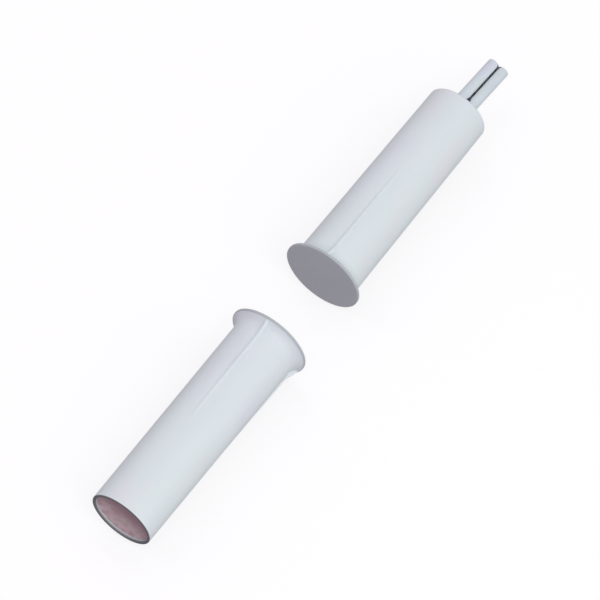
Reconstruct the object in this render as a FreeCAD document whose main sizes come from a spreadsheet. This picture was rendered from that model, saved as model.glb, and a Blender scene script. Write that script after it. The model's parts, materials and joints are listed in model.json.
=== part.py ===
import FreeCAD, Part
import math
import os
import Sketcher

# Recessed magnetic contact: two white flanged barrels on one axis, flange to flange.
# The switch half holds a reed switch potted behind its closed flange face, with two leads out of its
# rear. The magnet half is the same moulding with a bar magnet bonded into it.
# Frame: the X axis is the common axis. The origin is the centre of the switch half's flange face, the
# switch half and its leads lie towards +X, the magnet half faces it from -X, and +Z is up.

doc = FreeCAD.newDocument("recessed_magnetic_contact")
sheet = doc.addObject("Spreadsheet::Sheet", "sizes")

# Driving sizes, in millimetres and degrees.
SIZES = {
    # The flanged barrel that both halves share
    "shell_length": 33.0,
    "flange_dia": 11.7,
    "rim_thickness": 0.4,
    "rim_chamfer": 0.1,
    "flare_length": 1.7,
    "barrel_front_dia": 9.5,
    "barrel_rear_dia": 9.15,
    "rear_chamfer": 0.12,
    "face_wall": 1.2,
    "bore_dia": 8.3,
    "bore_floor_chamfer": 0.4,
    "mouth_chamfer": 0.1,
    # The crush ribs that grip the drilled hole
    "rib_count": 3,
    "rib_width": 0.42,
    "rib_root": 0.15,
    "rib_crest_chamfer": 0.12,
    "rib_head_drop": 0.13,
    "rib_neck_place": 1.4,
    "rib_neck_height": 0.67,
    "rib_shoulder_place": 2.6,
    "rib_shoulder_height": 0.27,
    "rib_end_place": 17.5,
    "rib_end_height": 0.04,
    # The distance between the two flange faces, and the switch half's housing turned about the axis
    "pair_gap": 12.2,
    "switch_turn": 6.4,
    # The reed switch
    "glass_length": 14.0,
    "glass_dia": 2.2,
    "glass_wall": 0.25,
    "glass_end_taper": 0.5,
    "seal_length": 1.9,
    "reed_wire_dia": 0.5,
    "wire_stub": 0.3,
    "blade_root_width": 0.45,
    "blade_width": 1.1,
    "blade_thickness": 0.18,
    "blade_fan": 0.9,
    "blade_overlap": 1.0,
    "contact_gap": 0.08,
    "fold_cover": 0.5,
    "fold_length": 1.0,
    "fold_corner": 0.5,
    # The soft sleeve on the glass and the insulating sleeve on the folded reed wire
    "cushion_wall": 0.2,
    "cushion_overhang": 0.3,
    "wire_sleeve_wall": 0.2,
    "sleeve_clearance": 0.05,
    # The solder joints
    "joint_stand_off": 2.6,
    "joint_length": 2.2,
    "joint_skin": 0.16,
    "joint_taper": 0.7,
    "joint_web": 0.1,
    # The two insulated leads
    "lead_dia": 1.7,
    "lead_gap": 0.1,
    "strand_dia": 0.254,
    "strand_gap": 0.005,
    "bunch_clearance": 0.005,
    "lead_length": 10.0,
    "lead_bend_start": 0.3,
    "lead_bend_radius": 12.0,
    "lead_bend_angle": 2.5,
    "pair_turn": 200.0,
    # The potting and the magnet
    "potting_depth": 0.35,
    "potting_meniscus": 0.15,
    "potting_shore_width": 0.5,
    "magnet_dia": 7.4,
    "magnet_length": 25.4,
    "magnet_chamfer": 0.4,
    "adhesive_depth": 1.0,
    "adhesive_meniscus": 0.3,
    "adhesive_shore_width": 0.6,
}
for row, (alias, value) in enumerate(SIZES.items(), start=1):
    sheet.set(f"A{row}", alias.replace("_", " "))
    sheet.set(f"B{row}", str(value))
    sheet.setAlias(f"B{row}", alias)
doc.recompute()

# Radii and places that follow from the driving sizes, as expressions.
FLANGE_R = "sizes.flange_dia / 2"
FRONT_R = "sizes.barrel_front_dia / 2"
REAR_R = "sizes.barrel_rear_dia / 2"
BORE_R = "sizes.bore_dia / 2"
FLARE_TOP_R = f"({FLANGE_R} - sizes.rim_chamfer)"
FLARE_FOOT = "(sizes.rim_thickness + sizes.flare_length)"
FLARE_RISE = f"({FLARE_TOP_R} - {FRONT_R})"
WIRE_R = "(sizes.reed_wire_dia / 2)"
GLASS_R = "(sizes.glass_dia / 2)"
LEAD_R = "(sizes.lead_dia / 2)"
STRAND_PITCH = "(sizes.strand_dia + sizes.strand_gap)"
BUNCH_R = f"({STRAND_PITCH} + sizes.strand_dia / 2)"
LEAD_BORE_R = f"({BUNCH_R} + sizes.bunch_clearance)"
# The reed wire and its sleeve lie beside the cushioned glass, and the two leads lie on the same lines.
BESIDE_GLASS = (
    f"({GLASS_R} + sizes.cushion_wall + {WIRE_R} + sizes.wire_sleeve_wall + sizes.sleeve_clearance)"
)
PITCH = f"max(sizes.lead_dia + sizes.lead_gap; {BESIDE_GLASS})"
FOLD_R = f"({PITCH} / 2)"
FOLD_TIP = f"(sizes.face_wall + sizes.fold_cover + {WIRE_R})"
FOLD_X = f"({FOLD_TIP} + {FOLD_R})"
GLASS_START = f"({FOLD_X} + sizes.fold_length)"
GLASS_END = f"({GLASS_START} + sizes.glass_length)"
GLASS_MID = f"({GLASS_START} + sizes.glass_length / 2)"
CAVITY_START = f"({GLASS_START} + sizes.seal_length)"
CAVITY_END = f"({GLASS_END} - sizes.seal_length)"
JOINT_START = f"({GLASS_END} + sizes.joint_stand_off)"
JOINT_END = f"({JOINT_START} + sizes.joint_length)"
JOINT_MID = f"({JOINT_START} + sizes.joint_length / 2)"
BEND_X = "(sizes.shell_length + sizes.lead_bend_start)"
BEND_RUN = "(sizes.lead_bend_radius * sizes.lead_bend_angle * pi / 180)"
LEAD_RUN = f"(sizes.lead_length - sizes.lead_bend_start - {BEND_RUN})"
TURN = "sizes.pair_turn"
GLASS_SIDE = f"(-{PITCH} / 2)"
FOLD_SIDE = f"({PITCH} / 2)"

RUN_OUT = "1"
FULL_TURN = 360
LEFT, RIGHT = 1, -1
PLAIN_CORNER = 3


def dish_radius(half_width, rise):
    """Radius of an arc that rises by so much over a half width, as an expression."""
    return f"(({half_width}) ^ 2 + ({rise}) ^ 2) / (2 * ({rise}))"


def new_body(name):
    """A body whose label is its node's name."""
    body = doc.addObject("PartDesign::Body", name)
    body.Label = name
    return body


def new_sketch(body, name, plane="XY_Plane", height=None):
    """A sketch on one of the body's own planes, lifted off it along its normal."""
    sketch = body.newObject("Sketcher::SketchObject", name)
    planes = [feature for feature in body.Origin.OriginFeatures if feature.Role == plane]
    sketch.AttachmentSupport = [(planes[0], "")]
    sketch.MapMode = "FlatFace"
    if height is not None:
        sketch.setExpression("AttachmentOffset.Base.z", height)
    return sketch


def place_vertex(sketch, edge, end, corner):
    """Ties one corner of an outline to its two expressions."""
    name, across, up = corner[:PLAIN_CORNER]
    for axis, kind, expression, line in (("x", "DistanceX", across, -2), ("y", "DistanceY", up, -1)):
        if expression == "0":
            sketch.addConstraint(Sketcher.Constraint("PointOnObject", edge, end, line))
            continue
        value = float(sketch.evalExpression(expression))
        index = sketch.addConstraint(Sketcher.Constraint(kind, -1, 1, edge, end, value))
        sketch.renameConstraint(index, f"{name}_{axis}")
        sketch.setExpression(f"Constraints.{name}_{axis}", expression)


def arc_between(start, end, radius, side):
    """An arc from start to end whose centre lies left or right of the way between them."""
    chord = end - start
    half = chord.Length / 2
    normal = FreeCAD.Vector(-chord.y, chord.x, 0).normalize() * side
    centre = (start + end) * 0.5 + normal * math.sqrt(max(radius**2 - half**2, 0))
    first, last = (start, end) if side == LEFT else (end, start)
    angles = [math.atan2(point.y - centre.y, point.x - centre.x) for point in (first, last)]
    circle = Part.Circle(centre, FreeCAD.Vector(0, 0, 1), radius)
    return Part.ArcOfCircle(circle, angles[0], angles[1])


def draw(sketch, corners, closed=True):
    """Draws a constrained outline or path.

    A corner is (name, x, y), and (name, x, y, radius, side) where the edge that leaves it is an arc.
    """
    spots = []
    for corner in corners:
        x, y = (float(sketch.evalExpression(expression)) for expression in corner[1:PLAIN_CORNER])
        spots.append(FreeCAD.Vector(x, y, 0))
    count = len(corners) if closed else len(corners) - 1
    ends = []
    for index in range(count):
        start, end = spots[index], spots[(index + 1) % len(spots)]
        corner = corners[index]
        if len(corner) == PLAIN_CORNER:
            edge = sketch.addGeometry(Part.LineSegment(start, end), False)
            ends.append((edge, 1, 2))
            continue
        radius = float(sketch.evalExpression(corner[3]))
        edge = sketch.addGeometry(arc_between(start, end, radius, corner[4]), False)
        ends.append((edge, 1, 2) if corner[4] == LEFT else (edge, 2, 1))
    for index in range(count - (0 if closed else 1)):
        here, there = ends[index], ends[(index + 1) % count]
        sketch.addConstraint(Sketcher.Constraint("Coincident", here[0], here[2], there[0], there[1]))
    for index, corner in enumerate(corners):
        last = index == count
        edge, first_end, second_end = ends[index - 1 if last else index]
        place_vertex(sketch, edge, second_end if last else first_end, corner)
    for index in range(count):
        corner = corners[index]
        if len(corner) > PLAIN_CORNER:
            edge = ends[index][0]
            radius = float(sketch.evalExpression(corner[3]))
            number = sketch.addConstraint(Sketcher.Constraint("Radius", edge, radius))
            sketch.renameConstraint(number, f"{corner[0]}_radius")
            sketch.setExpression(f"Constraints.{corner[0]}_radius", corner[3])
    return sketch


def draw_circles(sketch, circles):
    """Draws circles given as (name, x, y, radius)."""
    for name, across, up, radius in circles:
        x, y, size = (float(sketch.evalExpression(expression)) for expression in (across, up, radius))
        circle = Part.Circle(FreeCAD.Vector(x, y, 0), FreeCAD.Vector(0, 0, 1), size)
        edge = sketch.addGeometry(circle, False)
        place_vertex(sketch, edge, 3, (name, across, up))
        number = sketch.addConstraint(Sketcher.Constraint("Radius", edge, size))
        sketch.renameConstraint(number, f"{name}_radius")
        sketch.setExpression(f"Constraints.{name}_radius", radius)
    return sketch


def revolve(body, name, corners, kind="PartDesign::Revolution"):
    """Turns an outline, x along the axis and y the radius, about the body's X axis."""
    sketch = draw(new_sketch(body, f"{name}_outline"), corners)
    doc.recompute()
    feature = body.newObject(kind, name)
    feature.Profile = sketch
    feature.ReferenceAxis = (sketch, ["H_Axis"])
    feature.Angle = FULL_TURN
    doc.recompute()
    return feature


def pipe(body, name, path_corners, circles):
    """Carries round sections, drawn about the start of the path, along a path in the XY plane."""
    path = draw(new_sketch(body, f"{name}_path"), path_corners, closed=False)
    section = new_sketch(body, f"{name}_section", "YZ_Plane", path_corners[0][1])
    draw_circles(section, circles)
    doc.recompute()
    feature = body.newObject("PartDesign::AdditivePipe", name)
    feature.Profile = section
    feature.Spine = path
    feature.Transition = "Right corner"
    doc.recompute()
    return feature


def turn_about_axis(body, angle):
    """Turns a piece about the common axis."""
    body.setExpression("Placement.Rotation.Axis.x", "1")
    body.setExpression("Placement.Rotation.Axis.y", "0")
    body.setExpression("Placement.Rotation.Axis.z", "0")
    body.setExpression("Placement.Rotation.Angle", angle)


def set_on_line(body, side):
    """Puts a piece of the switch half on one of the two lines that its leads leave on."""
    turn_about_axis(body, TURN)
    body.setExpression("Placement.Base.y", f"{side} * cos({TURN})")
    body.setExpression("Placement.Base.z", f"{side} * sin({TURN})")


def set_facing(body):
    """Turns a piece of the magnet half round to face the switch half across the gap."""
    body.setExpression("Placement.Rotation.Axis.x", "0")
    body.setExpression("Placement.Rotation.Axis.y", "0")
    body.setExpression("Placement.Rotation.Axis.z", "1")
    body.setExpression("Placement.Rotation.Angle", "180")
    body.setExpression("Placement.Base.x", "-sizes.pair_gap")


def rib_section(body, name, place, top):
    """A section across the top rib: upright flanks and a chamfered crest, rooted inside the wall."""
    half = "sizes.rib_width / 2"
    crest = f"({half} - sizes.rib_crest_chamfer)"
    root = f"({BORE_R} + sizes.rib_root)"
    flank = f"({top} - sizes.rib_crest_chamfer)"
    sketch = new_sketch(body, name, "YZ_Plane", place)
    corners = [
        ("root_right", half, root),
        ("flank_right", half, flank),
        ("crest_right", crest, top),
        ("crest_left", f"-{crest}", top),
        ("flank_left", f"-{half}", flank),
        ("root_left", f"-{half}", root),
    ]
    return draw(sketch, corners)


def barrel_radius(place):
    """Outer radius of the drafted barrel behind the flare, as an expression."""
    slope = f"({REAR_R} - {FRONT_R}) / (sizes.shell_length - sizes.rear_chamfer - {FLARE_FOOT})"
    return f"({FRONT_R} + ({place} - {FLARE_FOOT}) * {slope})"


def bore_floor():
    """The bore's outline from the middle of its floor, over the chamfer, to where its wall starts."""
    return [
        ("floor_centre", "sizes.face_wall", "0"),
        ("floor_edge", "sizes.face_wall", f"{BORE_R} - sizes.bore_floor_chamfer"),
        ("wall_front", "sizes.face_wall + sizes.bore_floor_chamfer", BORE_R),
    ]


def make_housing(name):
    """The moulded shell: closed flange face, trumpet flare, drafted barrel, ribs and bore."""
    body = new_body(name)
    rear_x = "(sizes.shell_length - sizes.rear_chamfer)"
    flare_sweep = dish_radius("sizes.flare_length", FLARE_RISE)
    revolve(
        body,
        f"{name}_form",
        [
            ("face_centre", "0", "0"),
            ("face_edge", "0", FLARE_TOP_R),
            ("rim_front", "sizes.rim_chamfer", FLANGE_R),
            ("rim_back", "sizes.rim_thickness - sizes.rim_chamfer", FLANGE_R),
            ("flare_top", "sizes.rim_thickness", FLARE_TOP_R, flare_sweep, LEFT),
            ("flare_foot", FLARE_FOOT, FRONT_R),
            ("rear_edge", rear_x, REAR_R),
            ("rear_face", "sizes.shell_length", f"{REAR_R} - sizes.rear_chamfer"),
            ("rear_centre", "sizes.shell_length", "0"),
        ],
    )
    rib_end_r = barrel_radius("sizes.rib_end_place")
    head_top = f"({FLANGE_R} - sizes.rib_head_drop)"
    head = rib_section(body, f"{name}_rib_head", "sizes.rim_thickness / 2", head_top)
    stations = [
        ("neck", "sizes.rib_neck_place", f"({FRONT_R} + sizes.rib_neck_height)"),
        ("shoulder", "sizes.rib_shoulder_place", f"({FRONT_R} + sizes.rib_shoulder_height)"),
        ("end", "sizes.rib_end_place", f"({rib_end_r} + sizes.rib_end_height)"),
    ]
    sections = [rib_section(body, f"{name}_rib_{station}", place, top) for station, place, top in stations]
    doc.recompute()
    rib = body.newObject("PartDesign::AdditiveLoft", f"{name}_rib")
    rib.Profile = head
    rib.Sections = sections
    rib.Ruled = True
    doc.recompute()
    ribs = body.newObject("PartDesign::PolarPattern", f"{name}_ribs")
    ribs.Originals = [rib]
    turning = [feature for feature in body.Origin.OriginFeatures if feature.Role == "X_Axis"]
    ribs.Axis = (turning[0], [""])
    ribs.Angle = FULL_TURN
    ribs.setExpression("Occurrences", "sizes.rib_count")
    body.Tip = ribs
    doc.recompute()
    before = body.Shape.Volume
    clear_x = f"sizes.shell_length + {RUN_OUT}"
    bore = bore_floor() + [
        ("wall_rear", "sizes.shell_length - sizes.mouth_chamfer", BORE_R),
        ("mouth_edge", "sizes.shell_length", f"{BORE_R} + sizes.mouth_chamfer"),
        ("clear_edge", clear_x, f"{BORE_R} + sizes.mouth_chamfer"),
        ("clear_centre", clear_x, "0"),
    ]
    revolve(body, f"{name}_bore", bore, "PartDesign::Groove")
    if body.Shape.Volume >= before:
        raise RuntimeError(f"{name}: the bore cut nothing")
    return body


def make_fill(name, kind):
    """Compound poured into a housing's bore up to a depth below its rear, its meniscus a narrow cone."""
    body = new_body(name)
    level = f"(sizes.shell_length - sizes.{kind}_depth)"
    surface = [
        ("shore", f"{level} + sizes.{kind}_meniscus", BORE_R),
        ("surface_edge", level, f"{BORE_R} - sizes.{kind}_shore_width"),
        ("surface_centre", level, "0"),
    ]
    revolve(body, f"{name}_pour", bore_floor() + surface)
    return body


def glass_corners(hollow):
    """The reed capsule's outline, its seals touching the reed wires, or the same form filled solid."""
    taper = "sizes.glass_end_taper"
    inner = WIRE_R if hollow else "0"
    corners = [
        ("seal_front", GLASS_START, inner),
        ("front_edge", GLASS_START, f"{GLASS_R} - {taper}"),
        ("front_side", f"{GLASS_START} + {taper}", GLASS_R),
        ("rear_side", f"{GLASS_END} - {taper}", GLASS_R),
        ("rear_edge", GLASS_END, f"{GLASS_R} - {taper}"),
        ("seal_rear", GLASS_END, inner),
    ]
    if hollow:
        cavity_r = f"{GLASS_R} - sizes.glass_wall"
        corners += [
            ("rear_seal_foot", CAVITY_END, inner),
            ("rear_seal_wall", CAVITY_END, cavity_r),
            ("front_seal_wall", CAVITY_START, cavity_r),
            ("front_seal_foot", CAVITY_START, inner),
        ]
    return corners


def make_blade(body, name, root, fan_end, tip, height, side):
    """A flattened reed blade in plan: it fans out from the wire and ends in a round tip."""
    half = "(sizes.blade_width / 2)"
    neck = "(sizes.blade_root_width / 2)"
    sketch = new_sketch(body, f"{name}_plan", "XY_Plane", height)
    tip_x = f"({tip} - ({side}) * {half})"
    turn = RIGHT if side == "1" else LEFT
    corners = [
        ("root_low", root, f"-{neck}"),
        ("root_high", root, neck),
        ("fan_high", fan_end, half),
        ("tip_high", tip_x, half, half, turn),
        ("tip", tip, "0", half, turn),
        ("tip_low", tip_x, f"-{half}"),
        ("fan_low", fan_end, f"-{half}"),
    ]
    draw(sketch, corners)
    doc.recompute()
    blade = body.newObject("PartDesign::Pad", name)
    blade.Profile = sketch
    blade.setExpression("Length", "sizes.blade_thickness")
    doc.recompute()
    return blade


def make_front_reed():
    """The reed from the flange end: blade, seal wire, hairpin fold, and its wire back to the joint."""
    body = new_body("front_reed")
    path = [
        ("stub", f"{CAVITY_START} + sizes.wire_stub", "0"),
        ("fold_in", f"{FOLD_TIP} + sizes.fold_corner", "0"),
        ("tip_low", FOLD_TIP, "sizes.fold_corner"),
        ("tip_high", FOLD_TIP, f"{PITCH} - sizes.fold_corner"),
        ("fold_out", f"{FOLD_TIP} + sizes.fold_corner", PITCH),
        ("joint", f"{JOINT_MID} - sizes.joint_web / 2", PITCH),
    ]
    pipe(body, "front_reed_wire", path, [("wire", "0", "0", WIRE_R)])
    fan_end = f"({CAVITY_START} + sizes.blade_fan)"
    tip = f"({GLASS_MID} + sizes.blade_overlap / 2)"
    make_blade(body, "front_reed_blade", CAVITY_START, fan_end, tip, "sizes.contact_gap / 2", "1")
    set_on_line(body, GLASS_SIDE)
    return body


def make_rear_reed():
    """The reed from the rear end: blade and a straight wire to its joint."""
    body = new_body("rear_reed")
    path = [
        ("stub", f"{CAVITY_END} - sizes.wire_stub", "0"),
        ("joint", f"{JOINT_MID} - sizes.joint_web / 2", "0"),
    ]
    pipe(body, "rear_reed_wire", path, [("wire", "0", "0", WIRE_R)])
    fan_end = f"({CAVITY_END} - sizes.blade_fan)"
    tip = f"({GLASS_MID} - sizes.blade_overlap / 2)"
    height = "-sizes.contact_gap / 2 - sizes.blade_thickness"
    make_blade(body, "rear_reed_blade", CAVITY_END, fan_end, tip, height, "-1")
    set_on_line(body, GLASS_SIDE)
    return body


def make_tube(name, start, end, inner, outer, side):
    """A plain sleeve along one of the two lines."""
    body = new_body(name)
    revolve(
        body,
        f"{name}_wall",
        [
            ("inner_front", start, inner),
            ("outer_front", start, outer),
            ("outer_rear", end, outer),
            ("inner_rear", end, inner),
        ],
    )
    set_on_line(body, side)
    return body


def make_joint(name, side, filled=False):
    """A sleeve of solder, tapered to the reed wire, that holds its end and a lead's core end to end."""
    body = new_body(name)
    outer = f"{LEAD_BORE_R} + sizes.joint_skin"
    corners = [
        ("wire_skin", JOINT_START, f"{WIRE_R} + sizes.joint_skin"),
        ("belly", f"{JOINT_START} + sizes.joint_taper", outer),
        ("lead_skin", JOINT_END, outer),
    ]
    if filled:
        corners += [("lead_axis", JOINT_END, "0"), ("wire_axis", JOINT_START, "0")]
    else:
        corners += [
            ("lead_mouth", JOINT_END, LEAD_BORE_R),
            ("lead_floor", f"{JOINT_MID} + sizes.joint_web / 2", LEAD_BORE_R),
            ("web_rear", f"{JOINT_MID} + sizes.joint_web / 2", "0"),
            ("web_front", f"{JOINT_MID} - sizes.joint_web / 2", "0"),
            ("wire_floor", f"{JOINT_MID} - sizes.joint_web / 2", WIRE_R),
            ("wire_mouth", JOINT_START, WIRE_R),
        ]
    revolve(body, f"{name}_sleeve", corners)
    set_on_line(body, side)
    return body


def lead_path(start, side):
    """A lead's line: straight out of the housing, one gentle bend, and straight to its square end."""
    radius = f"(sizes.lead_bend_radius - {side})"
    turn_x = f"({BEND_X} + {radius} * sin(sizes.lead_bend_angle))"
    turn_y = f"({radius} * (1 - cos(sizes.lead_bend_angle)))"
    return [
        ("start", start, "0"),
        ("bend_in", BEND_X, "0", radius, LEFT),
        ("bend_out", turn_x, turn_y),
        (
            "end",
            f"{turn_x} + {LEAD_RUN} * cos(sizes.lead_bend_angle)",
            f"{turn_y} + {LEAD_RUN} * sin(sizes.lead_bend_angle)",
        ),
    ]


def make_insulation(name, side):
    """A lead's insulating tube."""
    body = new_body(name)
    circles = [("outer", "0", "0", LEAD_R), ("bore", "0", "0", LEAD_BORE_R)]
    pipe(body, f"{name}_tube", lead_path(JOINT_END, side), circles)
    set_on_line(body, side)
    return body


def make_lead_form(name, side):
    """The solid form that a lead takes up inside the housing."""
    body = new_body(name)
    revolve(
        body,
        f"{name}_solid",
        [
            ("front_axis", JOINT_END, "0"),
            ("front_side", JOINT_END, LEAD_R),
            ("rear_side", "sizes.shell_length", LEAD_R),
            ("rear_axis", "sizes.shell_length", "0"),
        ],
    )
    set_on_line(body, side)
    return body


def make_conductor(name, side):
    """A lead's conductor: the round bunch that one strand and the six round it make up."""
    body = new_body(name)
    start = f"{JOINT_MID} + sizes.joint_web / 2"
    pipe(body, f"{name}_bunch", lead_path(start, side), [("bunch", "0", "0", BUNCH_R)])
    set_on_line(body, side)
    return body


def make_potting(forms):
    """The potting compound: the pour, less everything that is set in it."""
    pour = make_fill("potting_pour", "potting")
    embedded = doc.addObject("Part::MultiFuse", "embedded_forms")
    embedded.Shapes = forms
    potting = doc.addObject("Part::Cut", "potting_compound")
    potting.Label = "potting_compound"
    potting.Base = pour
    potting.Tool = embedded
    doc.recompute()
    return potting


def make_magnet():
    """The bar magnet: a plain rod with chamfered ends, seated on the bore's floor."""
    body = new_body("bar_magnet")
    radius = "(sizes.magnet_dia / 2)"
    start, end = "sizes.face_wall", "(sizes.face_wall + sizes.magnet_length)"
    revolve(
        body,
        "bar_magnet_rod",
        [
            ("front_centre", start, "0"),
            ("front_edge", start, f"{radius} - sizes.magnet_chamfer"),
            ("front_side", f"{start} + sizes.magnet_chamfer", radius),
            ("rear_side", f"{end} - sizes.magnet_chamfer", radius),
            ("rear_edge", end, f"{radius} - sizes.magnet_chamfer"),
            ("rear_centre", end, "0"),
        ],
    )
    set_facing(body)
    return body


def make_adhesive(magnet):
    """The adhesive round and behind the magnet, which closes the housing short of its rim."""
    pour = make_fill("adhesive_pour", "adhesive")
    set_facing(pour)
    adhesive = doc.addObject("Part::Cut", "magnet_adhesive")
    adhesive.Label = "magnet_adhesive"
    adhesive.Base = pour
    adhesive.Tool = magnet
    doc.recompute()
    return adhesive


# The switch half
switch_housing = make_housing("switch_housing")
turn_about_axis(switch_housing, "sizes.switch_turn")
front_reed = make_front_reed()
rear_reed = make_rear_reed()
reed_capsule = new_body("reed_capsule")
revolve(reed_capsule, "reed_capsule_glass", glass_corners(hollow=True))
set_on_line(reed_capsule, GLASS_SIDE)
capsule_form = new_body("capsule_form")
revolve(capsule_form, "capsule_form_solid", glass_corners(hollow=False))
set_on_line(capsule_form, GLASS_SIDE)
capsule_cushion = make_tube(
    "capsule_cushion",
    f"{GLASS_START} - sizes.cushion_overhang",
    f"{GLASS_END} + sizes.cushion_overhang",
    GLASS_R,
    f"{GLASS_R} + sizes.cushion_wall",
    GLASS_SIDE,
)
reed_wire_sleeve = make_tube(
    "reed_wire_sleeve", FOLD_X, JOINT_START, WIRE_R, f"{WIRE_R} + sizes.wire_sleeve_wall", FOLD_SIDE
)
LINES = (("a", FOLD_SIDE), ("b", GLASS_SIDE))
solder_joints = [make_joint(f"solder_joint_{letter}", side) for letter, side in LINES]
joint_forms = [make_joint(f"joint_form_{letter}", side, filled=True) for letter, side in LINES]
insulations = [make_insulation(f"lead_insulation_{letter}", side) for letter, side in LINES]
conductors = [make_conductor(f"lead_conductor_{letter}", side) for letter, side in LINES]
lead_forms = [make_lead_form(f"lead_form_{letter}", side) for letter, side in LINES]
set_in_potting = [front_reed, rear_reed, capsule_form, capsule_cushion, reed_wire_sleeve]
potting_compound = make_potting(set_in_potting + joint_forms + lead_forms)

# The magnet half
magnet_housing = make_housing("magnet_housing")
set_facing(magnet_housing)
bar_magnet = make_magnet()
magnet_adhesive = make_adhesive(bar_magnet)
doc.recompute()

NODES = [
    switch_housing,
    reed_capsule,
    front_reed,
    rear_reed,
    capsule_cushion,
    reed_wire_sleeve,
    *solder_joints,
    *insulations,
    *conductors,
    potting_compound,
    magnet_housing,
    bar_magnet,
    magnet_adhesive,
]
for item in doc.Objects:
    if "Invalid" in item.State or "Error" in item.State:
        raise RuntimeError(f"{item.Label} failed: {item.State}")
for node in NODES:
    if node.Shape.isNull() or not node.Shape.isValid():
        raise RuntimeError(f"{node.Label} has no valid shape")
os.makedirs("parts", exist_ok=True)
for node in NODES:
    node.Shape.exportStep(f"parts/{node.Label}.step")
    print(node.Label, len(node.Shape.Solids), round(node.Shape.Volume, 3))
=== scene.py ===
"""The looks of a recessed magnetic contact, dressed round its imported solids.

Frame: X is the common axis. The switch half lies towards +X from the origin, with its two leads behind it,
the magnet half faces it from -X, and +Z is up. Lengths are in metres.
"""

import json
import logging
import math
from collections.abc import Sequence
from dataclasses import dataclass, field
from enum import Enum

import bpy
import numpy as np
from mathutils import Matrix, Vector


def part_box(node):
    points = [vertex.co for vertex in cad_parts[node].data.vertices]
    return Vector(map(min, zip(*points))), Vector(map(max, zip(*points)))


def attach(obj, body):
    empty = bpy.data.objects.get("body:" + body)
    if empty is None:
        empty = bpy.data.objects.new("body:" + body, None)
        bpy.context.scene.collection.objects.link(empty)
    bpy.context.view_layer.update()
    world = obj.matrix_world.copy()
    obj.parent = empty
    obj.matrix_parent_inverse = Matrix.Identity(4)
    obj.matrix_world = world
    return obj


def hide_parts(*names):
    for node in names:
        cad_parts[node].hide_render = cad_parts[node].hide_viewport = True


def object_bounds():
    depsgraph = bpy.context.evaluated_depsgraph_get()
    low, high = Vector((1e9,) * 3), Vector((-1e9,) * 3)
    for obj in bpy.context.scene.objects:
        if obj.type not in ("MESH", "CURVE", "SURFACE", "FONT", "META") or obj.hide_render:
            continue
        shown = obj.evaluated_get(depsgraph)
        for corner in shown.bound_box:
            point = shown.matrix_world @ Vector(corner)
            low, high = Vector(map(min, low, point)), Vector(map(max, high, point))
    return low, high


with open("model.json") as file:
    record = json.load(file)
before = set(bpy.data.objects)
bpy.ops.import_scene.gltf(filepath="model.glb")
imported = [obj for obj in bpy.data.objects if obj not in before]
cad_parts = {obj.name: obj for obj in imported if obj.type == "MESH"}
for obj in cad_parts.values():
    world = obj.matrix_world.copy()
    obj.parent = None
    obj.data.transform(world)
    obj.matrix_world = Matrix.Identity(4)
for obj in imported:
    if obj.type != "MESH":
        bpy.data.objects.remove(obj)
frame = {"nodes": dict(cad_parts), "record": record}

CAD_BOX = [list(corner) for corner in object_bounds()]
BODY = "root"
MM = 0.001
# The mesh attribute that holds painted shade: darkening painted where shade falls on rims, faces, a recess
# and between the leads.
PAINTED_SHADE = "tone"
FULL_TURN = 2 * math.pi
# Degrees by which the switch half's barrel is turned about the axis, as drawn.
SWITCH_TURN = 6.4
# Where soft noise has most of its values, and noise that is the same along every axis.
NOISE_RANGE = (0.3, 0.7)
NO_STRETCH = (1.0, 1.0, 1.0)

# Two numbers, such as a point of a profile or a range, and three, such as a colour or a stretch.
Pair = tuple[float, float]
Triple = tuple[float, float, float]
Piece = bpy.types.Object
Material = bpy.types.Material
Socket = bpy.types.NodeSocket

log = logging.getLogger("magnetic_contact")


class Half(Enum):
    """Which half of the pair a piece belongs to, and so which way it faces."""

    SWITCH = "switch"
    MAGNET = "magnet"

    def rib_turn(self) -> float:
        """Returns the degrees by which this half's barrel is turned about the axis."""
        return SWITCH_TURN if self is Half.SWITCH else 0.0

    def place(self, points: np.ndarray) -> np.ndarray:
        """Puts points drawn for the switch half where this half has them.

        The magnet half's points make half a turn about the vertical through the origin and then move back
        by the gap between the two flange faces: (x, y, z) goes to (-x - gap, -y, z).

        Args:
            points: Coordinates in the switch half's place, three in the last axis.

        Returns:
            The placed coordinates.
        """
        if self is Half.SWITCH:
            return points
        gap = -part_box("magnet_housing")[1].x
        return points * np.array([-1.0, -1.0, 1.0]) - np.array([gap, 0.0, 0.0])


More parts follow.
